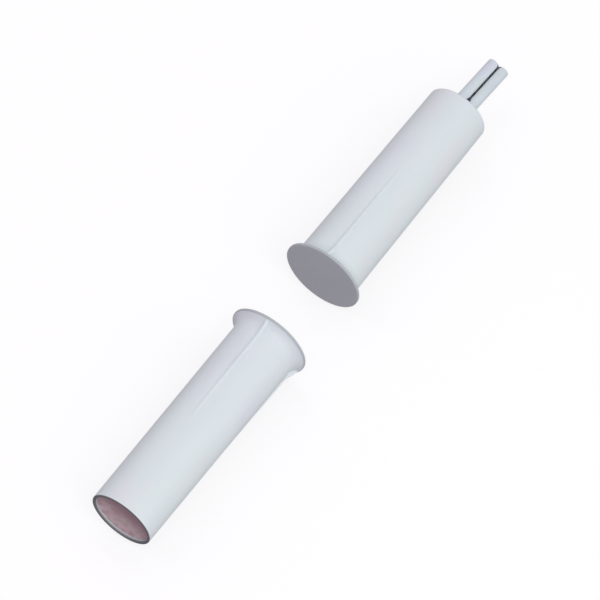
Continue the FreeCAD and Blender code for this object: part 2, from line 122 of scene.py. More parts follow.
@dataclass(frozen=True)
class GridSurface:
    """A closed surface on a grid of two parameters: rows along a profile, columns once round it.

    Attributes:
        points: Rows by columns by three coordinates. The last column joins the first.
        first_pole: The point that closes the first row, or None where the last row joins the first.
        last_pole: The point that closes the last row, or None likewise.
        tone: Rows by columns of shares of painted shade, 0 for the piece's own colour and 1 for its shade
            colour.
    """

    points: np.ndarray
    first_pole: np.ndarray | None = None
    last_pole: np.ndarray | None = None
    tone: np.ndarray | None = None

    def vertices(self) -> np.ndarray:
        """Lists the surface's points.

        Returns:
            The grid's points row by row, with the poles last.
        """
        flat = self.points.reshape(-1, 3)
        if self.first_pole is None:
            return flat
        return np.vstack([flat, self.first_pole, self.last_pole])

    def painted_shades(self) -> np.ndarray:
        """Lists the painted shade at each vertex.

        Returns:
            The grid's shares of painted shade, 0 where none are given, and at a pole the mean of its row.
        """
        painted_shades = np.zeros(len(self.vertices()))
        if self.tone is not None:
            painted_shades[: self.tone.size] = self.tone.ravel()
            if self.first_pole is not None:
                painted_shades[self.tone.size :] = self.tone[0].mean(), self.tone[-1].mean()
        return painted_shades

    def faces(self) -> tuple[np.ndarray, np.ndarray]:
        """Joins neighbouring rows and columns by quads, and each pole to its row by triangles.

        The signed volume, the sum over the faces of corner dot (edge cross edge) / 6, says whether they
        point outwards, and their corners are taken in the other order where it is negative.

        Returns:
            The quads and the triangles, as arrays of vertex numbers.
        """
        rows, columns = self.points.shape[:2]
        here = np.arange(rows * columns).reshape(rows, columns)
        beside = np.roll(here, -1, axis=1)
        if self.first_pole is None:
            quads = np.stack([here, beside, np.roll(beside, -1, axis=0), np.roll(here, -1, axis=0)], axis=-1)
            triangles = np.empty((0, 3), int)
        else:
            quads = np.stack([here[:-1], beside[:-1], beside[1:], here[1:]], axis=-1)
            first, last = np.full(columns, rows * columns), np.full(columns, rows * columns + 1)
            first_fan = np.stack([first, beside[0], here[0]], axis=-1)
            last_fan = np.stack([last, here[-1], beside[-1]], axis=-1)
            triangles = np.concatenate([first_fan, last_fan])
        quads = quads.reshape(-1, 4)
        halves = np.concatenate([quads[:, [0, 1, 2]], quads[:, [0, 2, 3]], triangles])
        a, b, c = (self.vertices()[halves[:, corner]] for corner in range(3))
        if np.einsum("ij,ij->i", a, np.cross(b, c)).sum() < 0:
            return quads[:, ::-1], triangles[:, ::-1]
        return quads, triangles


def add_object(name: str, data: bpy.types.ID) -> bpy.types.Object:
    """Puts a new object in the scene.

    Args:
        name: The object's name.
        data: Its mesh, light or camera.

    Returns:
        The object.
    """
    added = bpy.data.objects.new(name, data)
    bpy.context.scene.collection.objects.link(added)
    return added


def make_piece(name: str, surfaces: Sequence[GridSurface]) -> Piece:
    """Makes one smooth-shaded object from closed surfaces.

    Args:
        name: The object's name.
        surfaces: The surfaces, each a skin of its own.

    Returns:
        The object, at the origin, with its place in its mesh.
    """
    points, corners, starts = [], [], []
    vertex_count = corner_count = 0
    for surface in surfaces:
        points.append(surface.vertices())
        for faces in surface.faces():
            corners.append(faces.ravel() + vertex_count)
            starts.append(corner_count + np.arange(len(faces)) * faces.shape[1])
            corner_count += faces.size
        vertex_count += len(points[-1])
    corner_list, start_list = np.concatenate(corners), np.concatenate(starts)
    mesh = bpy.data.meshes.new(name)
    mesh.vertices.add(vertex_count)
    mesh.vertices.foreach_set("co", np.concatenate(points).ravel())
    mesh.loops.add(len(corner_list))
    mesh.loops.foreach_set("vertex_index", corner_list)
    mesh.polygons.add(len(start_list))
    mesh.polygons.foreach_set("loop_start", start_list)
    mesh.update(calc_edges=True)
    mesh.validate()
    mesh.shade_smooth()
    # Each vertex's share of painted shade goes into a mesh attribute for the materials.
    painted_shades = mesh.attributes.new(PAINTED_SHADE, "FLOAT", "POINT")
    painted_shades.data.foreach_set("value", np.concatenate([surface.painted_shades() for surface in surfaces]))
    return add_object(name, mesh)


def line(start: Pair, end: Pair, steps: int) -> np.ndarray:
    """Returns points on a straight stretch of a profile, start + t (end - start), without its end."""
    share = np.arange(steps)[:, None] / steps
    return np.array(start) * (1 - share) + np.array(end) * share


def arc(centre: Pair, radius: float, turn: Pair, steps: int) -> np.ndarray:
    """Points on an arc of a profile, centre + radius (cos a, sin a), without its end.

    Args:
        centre: The arc's centre, as place along the axis and distance from it.
        radius: The arc's radius.
        turn: The angle at which it starts and the one at which it ends, in degrees.
        steps: How many points.

    Returns:
        The points, a row each.
    """
    angle = np.radians(turn[0] + (turn[1] - turn[0]) * np.arange(steps) / steps)
    return np.array(centre) + radius * np.stack([np.cos(angle), np.sin(angle)], axis=-1)


def profile(*stretches: np.ndarray) -> np.ndarray:
    """Returns the points of several stretches, one after another."""
    return np.concatenate(stretches)


def round_angles(columns: int) -> np.ndarray:
    """Returns evenly spaced angles, once round."""
    return np.arange(columns) * FULL_TURN / columns


def turned(place: np.ndarray, radius: np.ndarray, angle: np.ndarray) -> np.ndarray:
    """Returns the points (x, r cos a, r sin a) of a surface round the axis, rows by columns by three."""
    y, z = radius * np.cos(angle), radius * np.sin(angle)
    return np.stack([np.broadcast_to(place, y.shape), y, z], axis=-1)


def on_axis(place: float) -> np.ndarray:
    """Returns the point of the axis at a place along it."""
    return np.array([place, 0.0, 0.0])


def smooth_step(share: np.ndarray) -> np.ndarray:
    """Returns 3 s^2 - 2 s^3, s being the share held between 0 and 1."""
    share = np.clip(share, 0, 1)
    return share**2 * (3 - 2 * share)


@dataclass(frozen=True)
class RibSizes:
    """Sizes of the crush ribs: a high fin under the rim, a shoulder, and a long fading line.

    The head, neck, shoulder and tail are the stations of the crest line, each a place along the axis, from
    the flange face, and the crest's distance from the axis there.
    """

    angles: tuple[float, ...] = (90.0, 210.0, 330.0)
    half_width: float = 0.21 * MM
    root_fillet: float = 0.08 * MM
    head: Pair = (0.2 * MM, 5.72 * MM)
    neck: Pair = (1.4 * MM, 5.42 * MM)
    shoulder: Pair = (2.6 * MM, 5.02 * MM)
    tail: Pair = (17.2 * MM, 4.71 * MM)
    end_place: float = 17.6 * MM
    blend: float = 0.22 * MM
    blend_samples: int = 9
    crest_share: float = 0.6
    fillet_share: float = 0.35
    fillet_steps: int = 4
    flank_steps: int = 3
    crest_steps: int = 6

    def crest_height(self, place: np.ndarray, radius: np.ndarray) -> np.ndarray:
        """How high the crest stands over the barrel at each place along it.

        The crest line runs straight between its four stations. Its mean over a short stretch on both sides
        rounds the corners, and the line ends with a smooth step, 3 s^2 - 2 s^3, behind the tail.

        Args:
            place: Places along the axis.
            radius: The barrel's outer radius at each.

        Returns:
            The heights, 0 where the barrel or the flare is the higher one.
        """
        stations = np.array([self.head, self.neck, self.shoulder, self.tail])
        around = place[:, None] + np.linspace(-self.blend, self.blend, self.blend_samples)
        crest = np.interp(around, stations[:, 0], stations[:, 1]).mean(axis=1)
        ending = smooth_step((self.end_place - place) / (self.end_place - self.tail[0]))
        return np.maximum(crest - radius, 0) * ending

    def half_section(self) -> tuple[np.ndarray, np.ndarray]:
        """One side of the rib's section, from the foot of its fillet to the crest's middle.

        Returns:
            Each point's distance from the rib's middle plane, and the shares of the fillet's, the flank's
            and the crest's height that its lift adds up from. The fillet is a quarter circle that leaves
            the barrel, the flank is upright, and the crest is a quarter ellipse.
        """
        foot = np.linspace(0, math.pi / 2, self.fillet_steps, endpoint=False)
        top = np.linspace(0, math.pi / 2, self.crest_steps + 1)
        side = np.arange(self.flank_steps) / self.flank_steps
        distance = profile(
            self.half_width + self.root_fillet * (1 - np.sin(foot)),
            np.full(self.flank_steps, self.half_width),
            self.half_width * np.cos(top),
        )
        shares = np.zeros((3, len(distance)))
        shares[0] = np.concatenate([1 - np.cos(foot), np.ones(self.flank_steps + len(top))])
        shares[1] = np.concatenate([np.zeros(len(foot)), side, np.ones(len(top))])
        shares[2] = np.concatenate([np.zeros(len(foot) + self.flank_steps), np.sin(top)])
        return distance, shares

    def section(self) -> tuple[np.ndarray, np.ndarray]:
        """The whole section, both sides of it.

        Returns:
            Signed distances from the rib's middle plane, and the shares of height at each.
        """
        distance, shares = self.half_section()
        both = np.concatenate([-distance, distance[-2::-1]])
        return both, np.concatenate([shares, shares[:, -2::-1]], axis=1)

    def lift(self, height: np.ndarray, shares: np.ndarray) -> np.ndarray:
        """How far each point of the section stands out, at each height of the crest.

        Args:
            height: The crest's height, for each row.
            shares: The shares of the fillet's, flank's and crest's height, for each column.

        Returns:
            Lifts, rows by columns.
        """
        crest = np.minimum(self.half_width, self.crest_share * height)
        fillet = np.minimum(self.root_fillet, self.fillet_share * height)
        flank = height - crest - fillet
        return np.stack([fillet, flank, crest], axis=1) @ shares


@dataclass(frozen=True)
class Barrel:
    """The moulded barrel that both halves share: closed flange face, flare, draft, ribs and bore."""

    half: Half
    rim_thickness: float = 0.4 * MM
    rim_round: float = 0.12 * MM
    flare_length: float = 1.7 * MM
    front_radius: float = 4.75 * MM
    rear_radius: float = 4.575 * MM
    rear_round: float = 0.12 * MM
    face_wall: float = 1.2 * MM
    floor_round: float = 0.4 * MM
    mouth_chamfer: float = 0.1 * MM
    face_middle: float = 0.2 * MM
    # Painted shade: how dark the rear edge, the flange's rim and the face are painted, where they lie in
    # shade.
    rear_painted_shade: float = 1.0
    rear_fade: float = 0.25 * MM
    rim_painted_shade: float = 0.45
    face_painted_shade: float = 0.42
    face_steps: int = 16
    round_steps: int = 6
    rim_steps: int = 2
    flare_steps: int = 30
    barrel_steps: int = 124
    rear_steps: int = 4
    mouth_steps: int = 3
    bore_steps: int = 90
    floor_steps: int = 6
    plain_columns: int = 38
    ribs: RibSizes = field(default_factory=RibSizes)

    @property
    def node(self) -> str:
        """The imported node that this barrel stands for."""
        return f"{self.half.value}_housing"

    def length(self) -> float:
        """Returns the barrel's length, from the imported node."""
        low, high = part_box(self.node)
        return high.x - low.x

    def flange_radius(self) -> float:
        """Returns the flange's radius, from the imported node."""
        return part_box(self.node)[1].z

    def bore_radius(self) -> float:
        """Returns the bore's radius, which is that of the adhesive that fills it."""
        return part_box("magnet_adhesive")[1].z

    def outside(self) -> np.ndarray:
        """The outer profile, from the face's middle round the rim and down the flare to the rear edge.

        The flare is an arc that meets the barrel without a corner: with a run of l and a rise of s, its
        radius is (l^2 + s^2) / (2 s).

        Returns:
            Places along the axis and radii, a row each.
        """
        length, rim, steps = self.length(), self.rim_round, self.round_steps
        top = self.flange_radius() - rim
        rise = top - self.front_radius
        sweep = (self.flare_length**2 + rise**2) / (2 * rise)
        foot = self.rim_thickness + self.flare_length
        start = 180 + math.degrees(math.acos(self.flare_length / sweep))
        rear = length - self.rear_round
        return profile(
            line((0, self.face_middle), (0, top), self.face_steps),
            arc((rim, top), rim, (180, 90), steps),
            line((rim, top + rim), (self.rim_thickness - rim, top + rim), self.rim_steps),
            arc((self.rim_thickness - rim, top), rim, (90, 0), steps),
            arc((foot, self.front_radius + sweep), sweep, (start, 270), self.flare_steps),
            line((foot, self.front_radius), (rear, self.rear_radius), self.barrel_steps),
            arc((rear, self.rear_radius - self.rear_round), self.rear_round, (90, 0), steps),
        )

    def inside(self) -> np.ndarray:
        """The rest of the profile: rear face, mouth chamfer, bore, floor round and floor.

        Returns:
            Places along the axis and radii, a row each.
        """
        length, bore = self.length(), self.bore_radius()
        edge = bore + self.mouth_chamfer
        mouth = length - self.mouth_chamfer
        corner = self.face_wall + self.floor_round
        low = bore - self.floor_round
        return profile(
            line((length, self.rear_radius - self.rear_round), (length, edge), self.rear_steps),
            line((length, edge), (mouth, bore), self.mouth_steps),
            line((mouth, bore), (corner, bore), self.bore_steps),
            arc((corner, low), self.floor_round, (90, 180), self.round_steps),
            line((self.face_wall, low), (self.face_wall, self.face_middle), self.floor_steps),
        )

    def tone(self, place: np.ndarray, radius: np.ndarray) -> np.ndarray:
        """How much painted shade each row of the profile has.

        The bare rear edge has one share from its outer corner to a little way inside the bore, the flange's
        rim another, and the flat face a third, each with a soft border. All three are painted shade on faces
        in shade.

        Args:
            place: Places along the axis.
            radius: The profile's radius at each.

        Returns:
            The shares, one for each row.
        """
        in_bore = radius < (self.bore_radius() + self.rear_radius) / 2
        reach = np.where(in_bore, self.rear_fade, self.rear_round)
        rear = np.clip((place - (self.length() - reach)) / (reach / 2), 0, 1)
        rim = np.clip((radius - (self.flange_radius() - self.rim_round)) / (self.rim_round / 2), 0, 1)
        face = np.clip(1 - place / (self.rim_round / 2), 0, 1)
        return np.max([self.rear_painted_shade * rear, self.rim_painted_shade * rim, self.face_painted_shade * face], axis=0)

    def surface(self) -> GridSurface:
        """The barrel's skin: its profile carried round the axis, with the ribs lifted out of it.

        A column between two ribs lies at one angle a: (x, r cos a, r sin a). A rib's columns keep their
        distance d from its middle plane, so at radius r they lie at the angle asin(d / r) from it, and the
        rib's lift is added along that plane. Where there is no rib, the columns keep the angles that they
        have at the rim, on the face, and at the rear edge, in the bore.

        Returns:
            The closed surface.
        """
        outside, inside = self.outside(), self.inside()
        outline = profile(outside, inside)
        place, radius = outline[:, 0], outline[:, 1]
        height = np.zeros(len(outline))
        on_side = slice(int(np.argmax(outside[:, 1])), len(outside))
        height[on_side] = self.ribs.crest_height(place[on_side], radius[on_side])
        hold = np.maximum(radius, self.rear_radius)
        hold[: on_side.start] = self.flange_radius()
        distance, shares = self.ribs.section()
        rib_turn = np.arcsin(distance / hold[:, None])
        lift = self.ribs.lift(height, shares)
        sector = FULL_TURN / len(self.ribs.angles)
        share = (np.arange(self.plain_columns) + 1) / (self.plain_columns + 1)
        edge = rib_turn[:, -1:]
        plain_turn = edge + (sector - 2 * edge) * share
        turn = np.concatenate([rib_turn, plain_turn], axis=1)
        out = np.concatenate([lift, np.zeros_like(plain_turn)], axis=1)
        along = radius[:, None] * np.cos(turn) + out
        across = radius[:, None] * np.sin(turn)
        sectors = []
        for angle in np.radians(np.array(self.ribs.angles) + self.half.rib_turn()):
            y = along * math.cos(angle) - across * math.sin(angle)
            z = along * math.sin(angle) + across * math.cos(angle)
            sectors.append(np.stack([np.broadcast_to(place[:, None], y.shape), y, z], axis=-1))
        points = np.concatenate(sectors, axis=1)
        # Each row's share of painted shade, the same all round.
        tone = np.broadcast_to(self.tone(place, radius)[:, None], points.shape[:2])
        put = self.half.place
        return GridSurface(put(points), put(on_axis(0.0)), put(on_axis(self.face_wall)), tone)

    def build(self, finish: Material) -> Piece:
        """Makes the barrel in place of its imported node.

        Args:
            finish: The moulded plastic.

        Returns:
            The barrel.
        """
        piece = make_piece(f"{self.half.value}_barrel", [self.surface()])
        return dress(piece, finish, self.node)


def dress(piece: Piece, finish: Material, node: str | None = None) -> Piece:
    """Gives a new piece its finish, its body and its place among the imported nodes.

    Args:
        piece: The new piece.
        finish: Its material.
        node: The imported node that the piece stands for, if any.

    Returns:
        The same piece.
    """
    piece.data.materials.append(finish)
    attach(piece, BODY)
    if node is not None:
        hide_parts(node)
    return piece


@dataclass(frozen=True)
class Wave:
    """A slow wave of a set surface that goes round the axis a number of times."""

    strength: float
    number: int
    turn: float = 0.0
    twist: float = 0.0

    def height(self, angle: np.ndarray, share: np.ndarray) -> np.ndarray:
        """Returns strength cos(number a + turn + twist s), at an angle a and a share s of the way out."""
        return self.strength * np.cos(self.number * angle + self.turn + self.twist * share)


@dataclass(frozen=True)
class MagnetAdhesive:
    """The adhesive round and behind the magnet, which closes the magnet half short of its rear rim."""

    barrel: Barrel
    depth: float = 1.0 * MM
    shore_rise: float = 0.55 * MM
    shore_width: float = 0.9 * MM
    swell: float = 0.07 * MM
    waves: tuple[Wave, ...] = (Wave(1.0, 1, turn=-0.6), Wave(0.55, 2, turn=1.1), Wave(0.3, 3, twist=2.3))
    # Painted shade over one side of the set surface, where the rim shades the recess: its side, middle and
    # slope.
    shade_side: float = 110.0
    shade_middle: float = 0.67
    shade_slope: float = 1.1
    magnet_radius: float = 3.7 * MM
    magnet_length: float = 25.4 * MM
    magnet_chamfer: float = 0.4 * MM
    end_steps: int = 6
    chamfer_steps: int = 2
    magnet_steps: int = 24
    floor_steps: int = 2
    corner_steps: int = 3
    wall_steps: int = 30
    columns: int = 144
    rows: int = 34
    row_crowding: float = 1.5

    def poured(self, radius: np.ndarray, angle: np.ndarray, wall: float) -> np.ndarray:
        """How far the set surface lies over its middle level, towards the rear.

        It climbs the wall as exp(-d / w), d being the distance from the wall. Between the wall and the
        middle it swells and sinks by a sum of slow waves times s (1 - s), s being the share of the way out
        to the wall, so that they die out at both.

        Args:
            radius: Distances from the axis.
            angle: Angles round it.
            wall: The bore's radius there.

        Returns:
            The heights.
        """
        share = radius / wall
        climb = self.shore_rise * np.exp(-(wall - radius) / self.shore_width)
        waves = sum(wave.height(angle, share) for wave in self.waves)
        return climb + self.swell * waves * share * (1 - share)

    def surface(self) -> GridSurface:
        """The adhesive's skin: bore side, bore floor, the magnet's cavity, and the poured rear surface.

        Returns:
            A surface of revolution (x, r cos a, r sin a) but for its rear, where the pour adds to x.
        """
        barrel = self.barrel
        length, floor = barrel.length(), barrel.face_wall
        corner = floor + barrel.floor_round
        level = length - self.depth
        wall = barrel.bore_radius()
        end = floor + self.magnet_length
        radius, chamfer = self.magnet_radius, self.magnet_chamfer
        cavity = profile(
            line((end, barrel.face_middle), (end, radius - chamfer), self.end_steps),
            line((end, radius - chamfer), (end - chamfer, radius), self.chamfer_steps),
            line((end - chamfer, radius), (floor + chamfer, radius), self.magnet_steps),
            line((floor + chamfer, radius), (floor, radius - chamfer), self.chamfer_steps),
            line((floor, radius - chamfer), (floor, wall - barrel.floor_round), self.floor_steps),
            line((floor, wall - barrel.floor_round), (corner, wall), self.corner_steps),
            line((corner, wall), (level + self.shore_rise, wall), self.wall_steps),
        )
        angle = round_angles(self.columns)
        inward = (np.arange(self.rows)[:, None] / self.rows) ** self.row_crowding
        top_radius = (wall * (1 - inward) + barrel.face_middle * inward) * np.ones(self.columns)
        top = level + self.poured(top_radius, angle, wall)
        middle = level + float(self.poured(np.zeros(1), np.zeros(1), wall)[0])
        side = turned(cavity[:, :1], cavity[:, 1:], angle)
        put = barrel.half.place
        points = put(profile(side, turned(top, top_radius, angle)))
        # The last argument is the painted shade under the rim.
        return GridSurface(points, put(on_axis(end)), put(on_axis(middle)), self.painted_side_shade(points))

    def painted_side_shade(self, points: np.ndarray) -> np.ndarray:
        """How much painted shade the adhesive has, darker towards one side, where the rim shades the recess.

        It is a smooth step of middle + slope t / wall, where t = y cos a + z sin a is how far a point lies
        towards the shaded side.

        Args:
            points: The placed points of the skin.

        Returns:
            The shares of painted shade.
        """
        angle = math.radians(self.shade_side)
        toward = points[..., 1] * math.cos(angle) + points[..., 2] * math.sin(angle)
        return smooth_step(self.shade_middle + self.shade_slope * toward / self.barrel.bore_radius())

    def build(self, finish: Material) -> Piece:
        """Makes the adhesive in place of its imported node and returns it."""
        piece = make_piece("set_adhesive", [self.surface()])
        return dress(piece, finish, "magnet_adhesive")


@dataclass(frozen=True)
class LeadPair:
    """The two insulated leads and their strands, side by side out of the switch half's rear.

    Starts, the painted shadow spot at the root and the closing stretch are places along the axis, from
    the flange face.
    """

    pitch: float = 1.8 * MM
    pair_turn: float = 200.0
    start: float = 22.65 * MM
    strand_start: float = 21.6 * MM
    root_shadow_spot: float = 35.4 * MM
    bend_start: float = 33.3 * MM
    bend_radius: float = 12.0 * MM
    bend_angle: float = 2.5
    reach: float = 10.0 * MM
    stand: float = 0.3 * MM
    radius: float = 0.85 * MM
    bore_radius: float = 0.391 * MM
    closing: Pair = (33.0 * MM, 34.4 * MM)
    closeness: float = 0.05
    # Painted shade between the leads: its angle, its widening near the housing and the cut end, and its soft
    # border.
    groove_shade_angle: float = 33.0
    groove_shadow_flare: float = 16.0
    groove_shadow_reach: float = 0.3 * MM
    groove_shade_blur: float = 6.0
    edge_round: float = 0.05 * MM
    pinch: float = 0.035
    pinch_reach: float = 0.5 * MM
    strand_radius: float = 0.127 * MM
    strand_pitch: float = 0.259 * MM
    strand_count: int = 6
    strand_lay: float = 13.0 * MM
    strand_recess: float = 0.03 * MM
    wall_steps: int = 180
    edge_steps: int = 4
    bore_steps: int = 40
    root_steps: int = 3
    columns: int = 72
    strand_steps: int = 110
    strand_columns: int = 14

    def end(self) -> float:
        """Returns the length of a lead's line from the strands' start to its square end."""
        return self.bend_start - self.strand_start + self.reach - self.stand

    def along(self, run: np.ndarray, side: float) -> tuple[np.ndarray, np.ndarray, np.ndarray]:
        """Points on a lead's middle line, with the two directions across it.

        Behind the housing the two soft leads close up until they all but touch: their offset shrinks by a
        small share, in a smooth step 3 u^2 - 2 u^3 over the closing stretch.

        The line is straight, turns by the bend's angle on an arc about the pair's common centre, and
        goes on straight. Past the bend's start it has turned by a = min(s / R, A), at x + R sin a and
        R (1 - cos a) to the side, and what is left of s runs on along (cos a, sin a).

        Args:
            run: Distances along the line from the strands' start.
            side: The line's offset from the pair's middle.

        Returns:
            The points, the directions across in the pair's plane, and the direction square to that plane.
        """
        first, last = self.closing
        close = smooth_step((run + self.strand_start - first) / (last - first))
        side = side * (1 - self.closeness * close)
        radius = self.bend_radius - side
        past = run - (self.bend_start - self.strand_start)
        turn = np.clip(past / radius, 0, math.radians(self.bend_angle))
        rest = past - radius * turn
        x = self.bend_start + radius * np.sin(turn) + rest * np.cos(turn)
        y = side + radius * (1 - np.cos(turn)) + rest * np.sin(turn)
        flat = np.stack([x, y, np.zeros_like(x)], axis=-1)
        across = np.stack([-np.sin(turn), np.cos(turn), np.zeros_like(x)], axis=-1)
        spin = math.radians(self.pair_turn)
        cosine, sine = math.cos(spin), math.sin(spin)
        matrix = np.array([[1, 0, 0], [0, cosine, -sine], [0, sine, cosine]])
        square = np.broadcast_to(matrix @ np.array([0.0, 0.0, 1.0]), flat.shape)
        return flat @ matrix.T, across @ matrix.T, square

    def tube(self, side: float) -> GridSurface:
        """A lead's insulation: outer wall, softened cut end and bore, as one closed section carried round.

        The cutters leave the end a little flattened: the section is (1 - p) of its height across the pair's
        plane, p fading as exp(-d / reach) with the distance d from the end.

        Args:
            side: The lead's offset from the pair's middle.

        Returns:
            The closed surface.
        """
        first = self.start - self.strand_start
        last, edge = self.end(), self.edge_round
        outline = profile(
            line((first, self.radius), (last - edge, self.radius), self.wall_steps),
            arc((last - edge, self.radius - edge), edge, (90, 0), self.edge_steps),
            line((last, self.radius - edge), (last, self.bore_radius), self.edge_steps),
            line((last, self.bore_radius), (first, self.bore_radius), self.bore_steps),
            line((first, self.bore_radius), (first, self.radius), self.root_steps),
        )
        middle, across, square = self.along(outline[:, 0], side)
        angle = round_angles(self.columns)
        flattened = self.pinch * np.exp(-(last - outline[:, :1]) / self.pinch_reach)
        wide = outline[:, 1:] * np.cos(angle)
        narrow = outline[:, 1:] * (1 - flattened) * np.sin(angle)
        points = middle[:, None] + wide[..., None] * across[:, None] + narrow[..., None] * square[:, None]
        # Painted shade in the groove between the two leads goes with the tube.
        return GridSurface(points, tone=self.groove_shade(outline, angle, side))

    def groove_shade(self, outline: np.ndarray, angle: np.ndarray, side: float) -> np.ndarray:
        """How much painted shade a lead has in the groove between the two, where they touch and shade each
        other.

        The painted shade lies within an angle of the side that faces the other lead. That angle grows by
        exp(-(d / reach)^2) at the spot near the housing and at the cut end, where the painted shade widens
        into a painted shadow, d being the distance from them. The cut face and the bore get none.

        Args:
            outline: The section's points, as distances along the lead's line and radii.
            angle: Angles round the tube.
            side: The lead's offset from the pair's middle.

        Returns:
            The shares of painted shade, rows by columns.
        """
        run, radius = outline[:, 0], outline[:, 1]
        apart = np.degrees(angle if side < 0 else angle - math.pi)
        apart = np.abs((apart + 180) % 360 - 180)
        near = np.minimum(np.abs(run - (self.root_shadow_spot - self.strand_start)), np.abs(self.end() - run))
        width = self.groove_shade_angle + self.groove_shadow_flare * np.exp(-((near / self.groove_shadow_reach) ** 2))
        outer = radius > self.radius - self.edge_round / 2
        return np.clip((width[:, None] - apart) / self.groove_shade_blur + 0.5, 0, 1) * outer[:, None]

    def strands(self, side: float) -> list[GridSurface]:
        """A lead's strands: one straight down the middle and the others wound round it.

        A wound strand's middle lies at pitch (cos b, sin b) across the line, where b turns once in every
        lay, and its round section is carried along it.

        Args:
            side: The lead's offset from the pair's middle.

        Returns:
            One closed surface for each strand.
        """
        run = np.linspace(0, self.end() - self.strand_recess, self.strand_steps)
        middle, across, square = self.along(run, side)
        angle = round_angles(self.strand_columns)
        round_part = across[:, None] * np.cos(angle)[:, None] + square[:, None] * np.sin(angle)[:, None]
        surfaces = []
        for number in range(self.strand_count + 1):
            wind = (run / self.strand_lay + number / self.strand_count)[:, None] * FULL_TURN
            pitch = self.strand_pitch if number < self.strand_count else 0.0
            core = middle + pitch * (np.cos(wind) * across + np.sin(wind) * square)
            surfaces.append(GridSurface(core[:, None] + self.strand_radius * round_part, core[0], core[-1]))
        return surfaces

    def build(self, insulation: Material, metal: Material) -> list[Piece]:
        """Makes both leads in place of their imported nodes.

        Args:
            insulation: The finish of the insulating tubes.
            metal: The finish of the strands.

        Returns:
            The four pieces.
        """
        pieces = []
        for letter, side in (("a", self.pitch / 2), ("b", -self.pitch / 2)):
            tube = make_piece(f"lead_tube_{letter}", [self.tube(side)])
            pieces.append(dress(tube, insulation, f"lead_insulation_{letter}"))
            bunch = make_piece(f"lead_strands_{letter}", self.strands(side))
            pieces.append(dress(bunch, metal, f"lead_conductor_{letter}"))
        return pieces


@dataclass(frozen=True)
class PottingSurface:
    """The top of the potting in the switch half's rear, climbing the bore's wall and both leads."""

    barrel: Barrel
    leads: LeadPair
    depth: float = 0.35 * MM
    film: float = 0.02 * MM
    root: float = 0.25 * MM
    dish: float = 0.15 * MM
    climb: float = 0.22 * MM
    climb_width: float = 0.22 * MM
    under_steps: int = 6
    side_steps: int = 3
    columns: int = 180
    rows: int = 70

    def height(self, y: np.ndarray, z: np.ndarray, wall: float) -> np.ndarray:
        """How far the set surface lies over its middle level.

        It is dished, rising with the square of the distance from the axis, and it climbs each lead by
        exp(-d / w), d being the distance from the lead's skin, and 0 inside it.

        Args:
            y: Sideways coordinates.
            z: Upward coordinates.
            wall: The bore's radius there.

        Returns:
            The heights.
        """
        spin = math.radians(self.leads.pair_turn)
        total = self.film + self.dish * (y**2 + z**2) / wall**2
        for side in (self.leads.pitch / 2, -self.leads.pitch / 2):
            apart = np.hypot(y - side * math.cos(spin), z - side * math.sin(spin)) - self.leads.radius
            total = total + self.climb * np.exp(-np.maximum(apart, 0) / self.climb_width)
        return total

    def surface(self) -> GridSurface:
        """The film's skin on a polar grid: its flat root, its side on the wall, and its set top.

        Returns:
            The closed surface.
        """
        level = self.barrel.length() - self.depth
        base = level - self.root
        wall = self.barrel.bore_radius()
        inner = self.barrel.face_middle
        lower = profile(
            line((base, inner), (base, wall), self.under_steps),
            line((base, wall), (level, wall), self.side_steps),
        )
        outline = profile(lower, line((level, wall), (level, inner), self.rows))
        points = turned(outline[:, :1], outline[:, 1:], round_angles(self.columns))
        top = points[len(lower) :]
        top[..., 0] += self.height(top[..., 1], top[..., 2], wall)
        middle = level + float(self.height(np.zeros(1), np.zeros(1), wall)[0])
        return GridSurface(points, on_axis(base), on_axis(middle))

    def build(self, finish: Material) -> Piece:
        """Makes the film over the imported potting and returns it."""
        return dress(make_piece("potting_surface", [self.surface()]), finish)


class NodeTree:
    """A node tree, with short ways to lay its nodes out and join them."""

    def __init__(self, tree: bpy.types.NodeTree) -> None:
        """Takes a tree.

        Args:
            tree: The tree of a material or of the surroundings.
        """
        self.tree = tree

    def feed(self, socket: Socket, value: object) -> None:
        """Joins a socket to another one, or sets it to a plain value.

        Args:
            socket: The input that is fed.
            value: The output that it is joined to, or its value.
        """
        if isinstance(value, Socket):
            self.tree.links.new(value, socket)
        else:
            socket.default_value = value

    def add(self, kind: str, **inputs: object) -> bpy.types.Node:
        """Adds a node and feeds its inputs.

        Args:
            kind: The node's type, without the words that every shader node's type starts with.
            **inputs: What each input is fed, named with _ for a space.

        Returns:
            The node.
        """
        node = self.tree.nodes.new(f"ShaderNode{kind}")
        for name, value in inputs.items():
            self.feed(node.inputs[name.replace("_", " ")], value)
        return node

    def find(self, kind: str) -> bpy.types.Node:
        """Returns the first node of a type that the tree came with."""
        return next(node for node in self.tree.nodes if node.type == kind)

    def spread(self, value: Socket, source: Pair, result: Pair) -> Socket:
        """Carries a value from one range to another, held at its ends.

        Args:
            value: The value.
            source: The range that it comes in.
            result: The range that it gets.

        Returns:
            The carried value.
        """
        node = self.add("MapRange", Value=value, From_Min=source[0], From_Max=source[1])
        self.feed(node.inputs["To Min"], result[0])
        self.feed(node.inputs["To Max"], result[1])
        return node.outputs["Result"]

    def ramp(self, value: Socket, source: Pair, colours: Sequence[Triple]) -> Socket:
        """Turns a value into a colour.

        Args:
            value: The value.
            source: The range over which the colours are evenly spaced.
            colours: The ramp's colours.

        Returns:
            The colour that the value has on the ramp.
        """
        node = self.add("ValToRGB", Fac=value)
        ramp = node.color_ramp
        while len(ramp.elements) < len(colours):
            ramp.elements.new(1.0)
        for element, place, colour in zip(ramp.elements, np.linspace(*source, len(colours)), colours):
            element.position = place
            element.color = (*colour, 1.0)
        return node.outputs["Color"]


